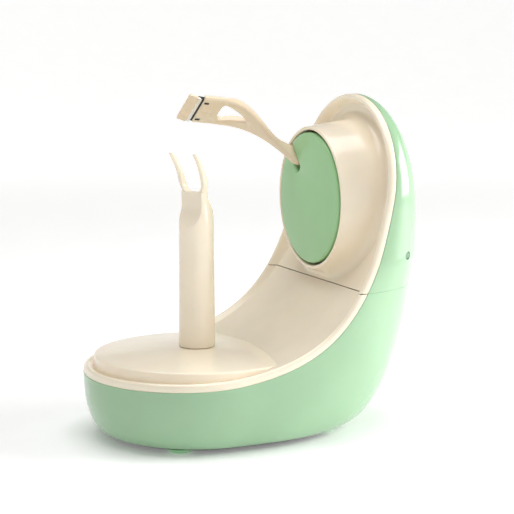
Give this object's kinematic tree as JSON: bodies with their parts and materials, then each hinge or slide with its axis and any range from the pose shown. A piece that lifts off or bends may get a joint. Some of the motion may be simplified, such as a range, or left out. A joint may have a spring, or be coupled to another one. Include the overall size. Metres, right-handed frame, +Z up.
{
  "type": "electric fruit peeler",
  "caption": "Electric fruit peeler: a fork turns the food over a round tray while a drum's disc carries a swinging blade arm round it.",
  "frame": {"origin": "centre of the footprint's box, on the surface that the feet stand on", "axes": "+X from the tray to the back, +Z up, +Y to the side that the blade arm leans to"},
  "size_m": [0.2134, 0.144, 0.2128],
  "materials": {
    "shell_green": "glossy pale mint green",
    "liner_cream": "glossy warm cream",
    "disc_green": "satin mint green",
    "arm_cream": "glossy cream",
    "blade_steel": "ground and polished strip",
    "carrier_black": "black, moulded",
    "gear_white": "white, self-lubricating",
    "bright_steel": "turned",
    "bush_bronze": "sintered bronze",
    "motor_can": "plated can",
    "frame_black": "black, moulded",
    "base_grey": "dark grey, finely grained",
    "foot_mint": "soft mint green",
    "board_green": "solder resist",
    "battery_blue": "shrink sleeve",
    "button_green": "satin mint green",
    "screw_green": "painted green to match the shell",
    "screw_steel": "zinc plated"
  },
  "bodies": {
    "root": {"base_shell": "shell_green", "head_shell": "shell_green", "base_liner": "liner_cream", "head_liner": "liner_cream", "drum_housing": "liner_cream", "gear_plate": "bright_steel", "gear_plate_screws": "screw_steel", "rotor_bush": "bush_bronze", "rotor_motor": "motor_can", "fork_bush": "bush_bronze", "fork_motor": "motor_can", "motor_clamp": "frame_black", "spindle_bush": "bush_bronze", "bottom_plate": "base_grey", "bottom_bosses": "frame_black", "bottom_screws": "screw_steel", "feet": "foot_mint", "battery": "battery_blue", "battery_cradle": "frame_black", "circuit_board": "board_green", "charge_socket": "bright_steel", "neck_bracket": "frame_black", "side_screws": "screw_green"},
    "rotor": {"face_disc": "disc_green", "rotor_hub": "arm_cream", "rotor_shaft": "bright_steel", "rotor_gear": "gear_white", "shaft_clip": "screw_steel", "arm_pin": "bright_steel"},
    "rotor_pinion": {"rotor_pinion": "gear_white"},
    "arm": {"arm_frame": "arm_cream", "blade_guard": "arm_cream", "blade": "blade_steel", "blade_carrier": "carrier_black"},
    "fork": {"fork_post": "liner_cream", "drive_spindle": "bright_steel", "fork_gear": "gear_white"},
    "fork_pinion": {"fork_pinion": "gear_white"},
    "button": {"power_button": "button_green"}
  },
  "joints": [
    {"name": "rotor_turn", "type": "hinge", "parent": "root", "child": "rotor", "pos_m": [0, 0, 0.146], "axis": [1, 0, 0], "range_deg": [-99, 41]},
    {"name": "rotor_pinion_spin", "type": "hinge", "parent": "root", "child": "rotor_pinion", "pos_m": [0, 0, 0.111], "axis": [1, 0, 0], "range_deg": [-170, 400]},
    {"name": "arm_swing", "type": "hinge", "parent": "rotor", "child": "arm", "pos_m": [0.05275, 0.01706, 0.16562], "axis": [0, 0.7547, -0.6561], "range_deg": [-20, 0]},
    {"name": "fork_spin", "type": "hinge", "parent": "root", "child": "fork", "pos_m": [-0.03475, 0, 0], "axis": [0, 0, 1], "continuous": true},
    {"name": "fork_pinion_spin", "type": "hinge", "parent": "root", "child": "fork_pinion", "pos_m": [-0.00375, 0, 0], "axis": [0, 0, 1], "continuous": true},
    {"name": "button_press", "type": "slide", "parent": "root", "child": "button", "axis": [-1, 0, 0], "range_m": [0, 0.002], "stiffness_N_per_m": 400}
  ],
  "couplings": [
    {"joint": "rotor_pinion_spin", "follows": "rotor_turn", "ratio": -4},
    {"joint": "fork_pinion_spin", "follows": "fork_spin", "ratio": -4.1667}
  ]
}
